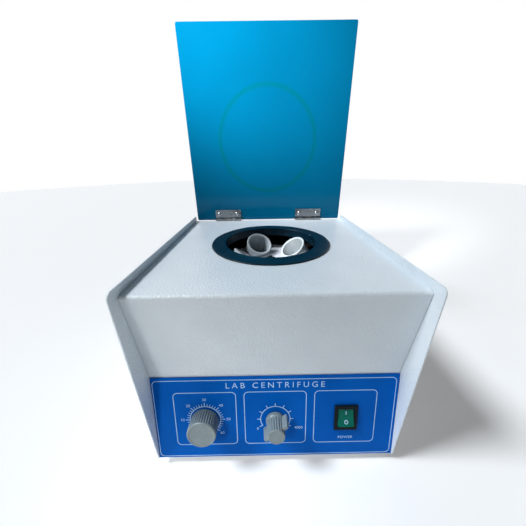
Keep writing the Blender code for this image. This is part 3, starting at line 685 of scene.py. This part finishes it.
def feet():
    for end in ("front", "rear"):
        for side in ("left", "right"):
            node = f"foot_{end}_{side}"
            low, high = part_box(node)
            at = Matrix.Translation(((low.x + high.x) / 2, (low.y + high.y) / 2, 0))
            profile = [(3.8, 0.3), (4.1, 0), (8.6, 0), *arc((8.9, 1.1), 1.1, -90, -10, 4), (10.9, 9.3),
                       (10.6, 9.7), (2.2, 9.7), (2.2, 5), (3.8, 5)]
            turned(node + "_rubber", profile, "black_rubber", "case", node, at=at, segments=48)
            screw(node + "_screw", at @ Vector((0, 0, 5 * MM)), (0, 0, -1), "case", 3.5, 9)


# ---------------------------------------------------------------- control panel


def dial_point(centre, radius, degrees):
    """A point on a dial; degrees run clockwise from the top."""
    angle = math.radians(90 - degrees)
    return centre[0] + radius * math.cos(angle), centre[1] + radius * math.sin(angle)


def add_text(bm, words, centre, height, spacing=1.0):
    """Raised lettering in the panel's frame. The built-in font's capitals are 0.73 of its size."""
    curve = bpy.data.curves.new("words", "FONT")
    curve.body = words
    curve.size = height / 0.73
    curve.space_character = spacing
    curve.align_x = "CENTER"
    curve.align_y = "CENTER"
    curve.extrude = PRINT_H / 2
    curve.resolution_u = 4
    obj = bpy.data.objects.new("words", curve)
    bpy.context.scene.collection.objects.link(obj)
    graph = bpy.context.evaluated_depsgraph_get()
    mesh = bpy.data.meshes.new_from_object(obj.evaluated_get(graph))
    mesh.transform(scaled(PANEL) @ Matrix.Translation((*centre, PRINT_H / 2 - 0.01)))
    bm.from_mesh(mesh)
    bpy.data.objects.remove(obj, do_unlink=True)


def add_line_box(bm, low, high):
    outer = round_box(low, high, BOX_CORNER)
    inner = round_box((low[0] + LINE, low[1] + LINE), (high[0] - LINE, high[1] - LINE), BOX_CORNER - LINE)
    add_band(bm, outer, inner, -0.01, PRINT_H, scaled(PANEL))


def add_tick(bm, centre, degrees, start, end, width):
    turn = Matrix.Translation((*centre, 0)) @ Matrix.Rotation(-math.radians(degrees), 4, "Z")
    size = (width, end - start, PRINT_H + 0.01)
    add_box(bm, (0, (start + end) / 2, PRINT_H / 2 - 0.005), size, scaled(PANEL) @ turn)


def add_scale_arc(bm, centre, radius, start, end):
    steps = 72
    outer = arc(centre, radius + 0.4, 90 - start, 90 - end, steps)
    inner = arc(centre, radius - 0.4, 90 - start, 90 - end, steps)
    add_band(bm, outer, inner, -0.01, PRINT_H, scaled(PANEL), closed=False)


def panel_spot(name):
    """Where a joint stands on the panel, in millimetres."""
    spot = PANEL.inverted() @ Vector(joint(name)["pos_m"])
    return spot.x / MM, spot.y / MM


def lettering(name, bm):
    return piece(shape(bm), name, None, "case", look=LETTERING)


def panel():
    obj = bevelled(from_node("control_panel"), 0.2, 2, 40)
    piece(obj, "control_panel_sheet", "blue_panel_print", "case", "control_panel")

    bm = bmesh.new()
    add_line_box(bm, (BORDER[0], -BORDER[3]), (BORDER[1], -BORDER[2]))
    for x in BOX_XS:
        add_line_box(bm, (x - BOX_SIDE / 2, -BOX_TOP - BOX_SIDE), (x + BOX_SIDE / 2, -BOX_TOP))
    lettering("panel_frame_lines", bm)

    bm = bmesh.new()
    add_text(bm, "LAB CENTRIFUGE", (0, -10.8), TITLE_H, 1.5)
    lettering("panel_title", bm)

    bm = bmesh.new()
    add_text(bm, "POWER", (76, -77.6), LABEL_H, 1.05)
    lettering("power_label", bm)

    centre = panel_spot("timer_turn")
    bm = bmesh.new()
    add_scale_arc(bm, centre, TIMER_SCALE_R, -TIMER_SWEEP, TIMER_SWEEP)
    minute_degrees = TIMER_SWEEP / 30
    for minute in range(0, 61, 2):
        degrees = -TIMER_SWEEP + minute * minute_degrees
        main = minute % 10 == 0
        outer = TIMER_SCALE_R + (4.6 if main else 3.2)
        add_tick(bm, centre, degrees, TIMER_SCALE_R, outer, 0.8 if main else 0.6)
    for minute in range(0, 61, 10):
        degrees = -TIMER_SWEEP + minute * minute_degrees
        add_text(bm, str(minute), dial_point(centre, 24.5, degrees), LABEL_H)
    lettering("timer_scale", bm)

    centre = panel_spot("speed_turn")
    bm = bmesh.new()
    add_scale_arc(bm, centre, SPEED_SCALE_R, -SPEED_SWEEP, SPEED_SWEEP)
    for step in range(9):
        add_tick(bm, centre, -SPEED_SWEEP + step * 30, SPEED_SCALE_R, SPEED_SCALE_R + 3.6, 0.8)
    add_text(bm, "0", dial_point(centre, 22.4, -123), LABEL_H)
    add_text(bm, "4000", dial_point(centre, 27.6, 115), LABEL_H)
    lettering("speed_scale", bm)


def timer_knob():
    centre = panel_spot("timer_turn")
    at = PANEL @ Matrix.Translation((centre[0] * MM, centre[1] * MM, 0))
    deep = 1.3
    profile = [
        (10.5, 1), (14.0, 1), (14.6, 1.5, 0.3), (14.75, 2.2, deep), (14.75, 16.2, deep), (14.7, 17, 0.35),
        (14.5, 17.7), (14.0, 18.3), (13.3, 18.5), (12.9, 18.45), (12.5, 18.1), (11.5, 18), (0, 18),
        (0, 14.4), (3.3, 14.4), (3.3, 5), (10.5, 5),
    ]
    outside = profile[:13]
    inside = profile[14:]
    bm = bmesh.new()
    add_turned(bm, [*outside[::-1], *inside[::-1], (0, 14.4)], 360, scaled(at), 36)
    piece(shape(bm), "timer_knob_fluted", "grey_knob_plastic", "timer_control", "timer_knob", sharp=50)


def speed_knob():
    centre = panel_spot("speed_turn")
    at = PANEL @ Matrix.Translation((centre[0] * MM, centre[1] * MM, 0))
    deep = 1.0
    profile = [
        (0, 21.2), (7.0, 21.2), (7.5, 21.45), (8.0, 21.45), (8.5, 21), (8.7, 20.3, 0.3), (8.8, 19.4, deep),
        (9.1, 7, deep), (9.3, 6, 0.3), *arc((7.6, 3.4), 2.6, 50, 0, 4), (10.25, 1.4), (9.9, 1), (8.8, 1),
        (8.8, 4.6), (3.3, 4.6), (3.3, 14.4), (0, 14.4),
    ]
    bm = bmesh.new()
    add_turned(bm, profile, 240, scaled(at), 20)
    obj = shape(bm)
    points = [at.inverted() @ v.co for v in frame["nodes"]["speed_knob"].data.vertices]
    tip = max(points, key=lambda p: p.xy.length)
    turn = Matrix.Rotation(math.atan2(tip.y, tip.x), 4, "Z")
    bm = bmesh.new()
    for side in (-1, 1):
        outline = [(6.5, 3.4), (14, 3.4), (15, 4.4), (14.4, 17.2), (13.6, 18), (6.5, 18)]
        outline = [(side * along, up) for along, up in outline]
        add_prism(bm, outline, -1.5, 1.5, "Y", scaled(at) @ turn)
    fins = bevelled(shape(bm), 0.4, 3)
    bm = bmesh.new()
    bm.from_mesh(fins.data)
    bpy.data.objects.remove(fins, do_unlink=True)
    boolean(obj, bm, "UNION")
    piece(obj, "speed_knob_winged", "grey_knob_plastic", "speed_control", "speed_knob", sharp=50)


def power_switch():
    obj = bevelled(from_node("switch_housing"), 0.5, 3, 40)
    piece(obj, "switch_bezel", "black_plastic", "case", "switch_housing")
    obj = bevelled(from_node("power_rocker"), 0.6, 3, 40)
    piece(obj, "power_rocker_lens", "green_rocker", "rocker", "power_rocker")

    tilt = joint("rocker_tilt")
    half = -math.radians(tilt["range_deg"][1]) / 2
    at = PANEL.to_3x3().to_4x4() @ Matrix.Rotation(half, 4, "X")
    at.translation = tilt["pos_m"]
    slope = math.atan2(1.4, 10)
    upper = scaled(at) @ Matrix.Translation((0, 5, 5.3)) @ Matrix.Rotation(slope, 4, "X")
    lower = scaled(at) @ Matrix.Translation((0, -5, 5.3)) @ Matrix.Rotation(-slope, 4, "X")
    bm = bmesh.new()
    add_box(bm, (0, 0, 0), (0.8, 4, 0.12), upper)
    add_band(bm, arc((0, 0), 2.1, 0, 350, 35), arc((0, 0), 1.3, 0, 350, 35), -0.06, 0.06, lower)
    piece(shape(bm), "rocker_marks", None, "rocker", look=LETTERING)


# ---------------------------------------------------------------- chamber and rotor


def chamber():
    turned("sealing_ring_rubber", [
        (58.3, -9), (58.3, 1.1), *arc((59.3, 1.1), 1, 180, 90, 4)[1:], (75.7, 1.5),
        *arc((75.7, 0.6), 0.9, 90, 0, 5)[1:], (76.6, 0.3), (65.5, 0.3), (65.5, -1.5), (69, -1.5), (69, -3.2),
        (61.4, -5), (61, -9),
    ], "black_rubber", "case", "sealing_ring", at=ROTOR, segments=128)
    turned("chamber_bowl_pressing", [
        (112, -1.5), (114.8, -1.5), (114.8, -2.9), (113.3, -2.9), (113.3, -104), (108, -109.3), (31, -109.3),
        (24.5, -101.3), (17, -101.3), (17, -100), (25.3, -100), (31.8, -108), (107.4, -108), (112, -103.4),
    ], "black_enamel", "case", "chamber_bowl", at=ROTOR, segments=96)


def rotor():
    bm = bmesh.new()
    add_turned(bm, [
        (6.4, -31), (7, -30.4), (72.4, -30.4), (74, -30.7), (75.6, -31.6), (107.2, -69), (107.6, -70),
        (107.6, -72.5), (103.2, -72.5), (101.6, -69.6), (73.6, -36.2), (22, -36.2), (18, -40), (17, -58),
        (6.4, -58),
    ], 128, scaled(ROTOR))
    obj = shape(bm)
    for k in range(1, 5):
        bm = bmesh.new()
        pocket = [(0, -CUP_LENGTH - 10), (POCKET_R, -CUP_LENGTH - 10), (POCKET_R, 5), (0, 5)]
        add_turned(bm, pocket, 64, scaled(cup_frame(k)))
        boolean(obj, bm)
    piece(bevelled(obj, 0.4, 2, 40), "rotor_body_machined", "satin_alloy", "rotor", "rotor_body")

    for k in range(1, 5):
        cup(k)
    turned("rotor_lock_nut_turned", [
        (0, -20.3), (2.2, -20.3), (2.9, -20.6), (3.3, -21.3), (3.5, -23), (5.6, -23.2), (7.5, -24),
        (8.3, -25, 0.4), (8.5, -25.5, 0.9), (8.5, -28.6, 0.9),
        (8.6, -29.1), (9.4, -29.2), (9.6, -29.4), (9.6, -30.1), (4.3, -30.1), (4.3, -26), (0, -26),
    ], "black_plastic", "rotor", "rotor_lock_nut", at=ROTOR, segments=96, flutes=12)


def cup(number):
    """A round-bottomed cup with a flange at its mouth and a rolled lip."""
    bottom = CUP_LENGTH - CUP_OUTER
    outer = [(CUP_OUTER * math.sin(math.radians(a)), -bottom - CUP_OUTER * math.cos(math.radians(a)))
             for a in range(9, 91, 9)]
    inner = [(CUP_INNER * math.sin(math.radians(a)), -bottom - CUP_INNER * math.cos(math.radians(a)))
             for a in range(90, 8, -9)]
    lip = [(CUP_INNER + 1.5, 0), (CUP_INNER + 1.1, -0.5), *arc((CUP_INNER + 0.6, -1.1), 0.6, 90, 180, 4)]
    flange = arc((CUP_RIM - 0.6, -0.6), 0.6, 0, 90, 4)
    profile = [
        (0, -CUP_LENGTH), *outer, (CUP_OUTER, -CUP_RIM_H - 0.8), (CUP_OUTER + 0.5, -CUP_RIM_H),
        (CUP_RIM - 0.3, -CUP_RIM_H), (CUP_RIM, -CUP_RIM_H + 0.3), *flange, *lip,
        (CUP_INNER, -9), (CUP_INNER - 0.25, -9.6), *inner, (0, -bottom - CUP_INNER),
    ]
    turned(f"cup_{number}_moulded", profile, "milky_polypropylene", "rotor", f"cup_{number}",
           at=cup_frame(number), segments=72)


# ---------------------------------------------------------------- lid and hinges


def add_knuckles(bm, spans, centre, up, matrix):
    """The rolled part of a hinge leaf: a round barrel that runs on into the plate behind it."""
    front = HINGE_BARREL - HINGE_SHEET
    end = 360 - math.degrees(math.asin(math.sqrt(1 - (front / HINGE_BARREL) ** 2)))
    line = [(HINGE_BARREL, up * (LEAF_START + 0.5)), (HINGE_BARREL, 0)]
    for k in range(1, 33):
        angle = math.radians(end * k / 32)
        line.append((HINGE_BARREL * math.cos(angle), -up * HINGE_BARREL * math.sin(angle)))
    line.append((front, up * (LEAF_START + 0.5)))
    for low, high in spans:
        add_prism(bm, line, centre + low, centre + high, "X", matrix)


def hinge_leaf(word, part, centre, up, spans, at, body):
    """One leaf: up is 1 for the lid's and -1 for the case's, and spans are its knuckles along the pin."""
    low = (centre - HINGE_WIDTH / 2, LEAF_START if up > 0 else -LEAF_LENGTH)
    high = (centre + HINGE_WIDTH / 2, LEAF_LENGTH if up > 0 else -LEAF_START)
    outline = round_box(low, high, 1.2, 4)
    bm = bmesh.new()
    add_prism(bm, outline, HINGE_BARREL - HINGE_SHEET, HINGE_BARREL, "Y", scaled(at))
    obj = shape(bm)
    bm = bmesh.new()
    add_knuckles(bm, spans, centre, up, scaled(at))
    boolean(obj, bm, "UNION")
    bm = bmesh.new()
    across = Matrix.Translation((centre, 0, 0)) @ Matrix.Rotation(QUARTER, 4, "Y")
    add_turned(bm, [(0, -30), (1.45, -30), (1.45, 30), (0, 30)], 32, scaled(at) @ across)
    for step in (-1, 1):
        spot = (centre + step * LEAF_SCREW_X, HINGE_BARREL, up * LEAF_SCREW_UP)
        hole = Matrix.Translation(spot) @ Matrix.Rotation(-QUARTER, 4, "X")
        add_turned(bm, [(0, -3), (1.9, -3), (1.9, 3), (0, 3)], 24, scaled(at) @ hole)
    boolean(obj, bm)
    bevelled(obj, 0.15, 2, 40)
    piece(obj, f"{word}_hinge_{part}_plate", "stainless_steel", body, f"{word}_hinge_{part}_leaf")


def hinges():
    edge = HINGE_WIDTH / 2
    third = HINGE_WIDTH / 6
    outer = [(-edge, -third - KNUCKLE_GAP), (third + KNUCKLE_GAP, edge)]
    middle = [(-third + KNUCKLE_GAP, third - KNUCKLE_GAP)]
    pin = [(0, -23.7), (1.5, -23.7), (1.9, -23.4), (1.9, -22.8), (1.1, -22.8), (1.1, 22.8), (1.9, 22.8),
           (1.9, 23.4), (1.5, 23.7), (0, 23.7)]
    for word in ("left", "right"):
        low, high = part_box(f"{word}_hinge_pin")
        centre = (low.x + high.x) / 2 / MM
        hinge_leaf(word, "case", centre, -1, outer, HINGE, "case")
        hinge_leaf(word, "lid", centre, 1, middle, LID, "lid")
        at = HINGE @ Matrix.Translation((centre * MM, 0, 0)) @ Matrix.Rotation(QUARTER, 4, "Y")
        turned(f"{word}_hinge_pin_rod", pin, "stainless_steel", "case", f"{word}_hinge_pin",
               at=at, segments=32)
        for step, end in ((-1, "left"), (1, "right")):
            spot = ((centre + step * LEAF_SCREW_X) * MM, HINGE_BARREL * MM, -LEAF_SCREW_UP * MM)
            screw(f"{word}_case_leaf_screw_{end}", HINGE @ Vector(spot), (0, 1, 0), "case", 2.9, 6)


def lid():
    low, high = spread("lid_panel", LID)
    outline = round_box((low.x / MM, low.z / MM), (high.x / MM, high.z / MM), 2.5, 5)
    bm = bmesh.new()
    add_prism(bm, outline, low.y / MM, high.y / MM, "Y", scaled(LID))
    obj = shape(bm)
    screws = [f"lid_hinge_screw_{k}" for k in range(1, 5)]
    bm = bmesh.new()
    points = []
    for node in screws:
        a, b = spread(node, LID)
        x = (a.x + b.x) / 2
        z = (a.z + b.z) / 2
        points.append((x, z))
        hole = LID @ Matrix.Translation((x, 0, z)) @ Matrix.Rotation(-QUARTER, 4, "X")
        add_turned(bm, [(0, 0), (1.9, 0), (1.9, 12), (0, 12)], 24, scaled(hole))
    boolean(obj, bm)
    bevelled(obj, 0.3, 2, 40)
    piece(obj, "lid_sheet", "blue_acrylic", "lid", "lid_panel")

    for node, (x, z) in zip(screws, points):
        face = spread(node, LID)[0].y + 1 * MM
        front = LID @ Vector((x, face, z))
        out = LID.to_3x3() @ Vector((0, -1, 0))
        screw(node + "_cross", front, out, "lid", 3.3, 8.4, node)
        behind = LID @ Vector((x, high.y, z))
        hex_nut(node.replace("screw", "nut"), behind, -out, "lid")


# ---------------------------------------------------------------- back


def back():
    obj = bevelled(from_node("power_inlet"), 0.3, 2, 40)
    piece(obj, "power_inlet_socket", "black_plastic", "case", "power_inlet")
    obj = bevelled(from_node("fuse_cap"), 0.2, 2, 40)
    piece(obj, "fuse_cap_ribbed", "black_plastic", "case", "fuse_cap")
    low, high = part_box("power_inlet")
    x = (low.x + high.x) / 2
    z = (low.z + high.z) / 2
    for side, word in ((-1, "left"), (1, "right")):
        screw(f"inlet_screw_{word}", (x + side * 20 * MM, high.y, z), (0, 1, 0), "case", 3, 6)
    bm = bmesh.new()
    for across, up in ((-7, -2), (0, 2), (7, -2)):
        add_box(bm, (across, -12.6, up), (2, 14.2, 4), scaled(Matrix.Translation((x, high.y, z))))
    piece(bevelled(shape(bm), 0.3), "inlet_blades", "zinc_plated_steel", "case")


# ---------------------------------------------------------------- everything else


def inner_finishes():
    """The pieces inside keep their CAD shapes and take the same finishes."""
    for row in frame["record"]["subparts"]:
        node = frame["nodes"][row["node"]]
        node.data.materials[0] = LOOKS[row["material_slot"]]


def camera():
    data = bpy.data.cameras.new("camera")
    data.lens = CAMERA_LENS
    data.shift_x = CAMERA_SHIFT_X
    data.clip_start = 0.01
    obj = bpy.data.objects.new("camera", data)
    bpy.context.scene.collection.objects.link(obj)
    turn = (Matrix.Rotation(CAMERA_YAW, 4, "Z") @ Matrix.Rotation(QUARTER + CAMERA_PITCH, 4, "X")
            @ Matrix.Rotation(CAMERA_ROLL, 4, "Z"))
    obj.matrix_world = Matrix.Translation(CAMERA_AT) @ turn
    bpy.context.scene.camera = obj


def place_light(data, at, target):
    obj = bpy.data.objects.new(data.name, data)
    bpy.context.scene.collection.objects.link(obj)
    obj.matrix_world = turned_to(at, Vector(at) - Vector(target))


def spot_light(name, at, target, degrees, watts, size):
    data = bpy.data.lights.new(name, "SPOT")
    data.energy = watts
    data.spot_size = math.radians(degrees)
    data.spot_blend = 1
    data.shadow_soft_size = size
    place_light(data, at, target)


def sky():
    """Dim all round for light, white where it is seen, and white in what gloss reflects from behind."""
    world = bpy.data.worlds.new("soft_sky")
    world.use_nodes = True
    tree = world.node_tree
    shade = tree.nodes["Background"]
    direction = tree.nodes.new("ShaderNodeTexCoord")
    split = tree.nodes.new("ShaderNodeSeparateXYZ")
    rear = tree.nodes.new("ShaderNodeMapRange")
    rear.inputs["From Min"].default_value = 0.1
    rear.inputs["From Max"].default_value = 0.6
    ray = tree.nodes.new("ShaderNodeLightPath")
    gloss = tree.nodes.new("ShaderNodeMath")
    gloss.operation = "MULTIPLY"
    seen = tree.nodes.new("ShaderNodeMath")
    seen.operation = "MAXIMUM"
    strength = tree.nodes.new("ShaderNodeMapRange")
    strength.inputs["To Min"].default_value = 0.105
    strength.inputs["To Max"].default_value = 1.0
    tree.links.new(direction.outputs["Generated"], split.inputs["Vector"])
    tree.links.new(split.outputs["Y"], rear.inputs["Value"])
    tree.links.new(rear.outputs["Result"], gloss.inputs[0])
    tree.links.new(ray.outputs["Is Glossy Ray"], gloss.inputs[1])
    tree.links.new(gloss.outputs["Value"], seen.inputs[0])
    tree.links.new(ray.outputs["Is Camera Ray"], seen.inputs[1])
    tree.links.new(seen.outputs["Value"], strength.inputs["Value"])
    tree.links.new(strength.outputs["Result"], shade.inputs["Strength"])
    shade.inputs["Color"].default_value = (1.0, 1.0, 1.0, 1)
    bpy.context.scene.world = world


def studio():
    """A pale floor and soft light from the upper left, with spot lights on the lid, the panel's knobs and the
    right-hand cup."""
    bm = bmesh.new()
    add_turned(bm, [(0, 0), (4, 0), (4, -0.02), (0, -0.02)], 96)
    floor = shape(bm)
    floor.name = "floor"
    made = varied("pale_floor", (0.93, 0.93, 0.93), (0.95, 0.95, 0.95), 90, (0.6, 0.7), 4, 0.02,
                  Emission_Color=(1, 1, 1, 1), Emission_Strength=0.15)
    floor.data.materials.append(made.material)
    sky()
    window = bpy.data.lights.new("window", "SUN")
    window.energy = 2.9
    window.angle = math.radians(14)
    window.color = (0.90, 0.95, 1.0)
    place_light(window, (-1.24, -0.10, 1.56), (0, 0, 0))
    spot_light("lid_light", (-0.42, -0.30, 0.80), (-0.07, 0.14, 0.49), 36, 72, 0.06)
    spot_light("front_light", (-0.40, -0.62, 0.62), (-0.07, -0.13, 0.04), 25, 8.5, 0.06)
    spot_light("rotor_light", (-0.16, -0.22, 0.36), (0.022, 0.02, 0.196), 12, 8, 0.01)
    bpy.context.scene.view_settings.view_transform = "Standard"


inner_finishes()
case()
feet()
panel()
timer_knob()
speed_knob()
power_switch()
chamber()
rotor()
hinges()
lid()
back()
camera()
studio()
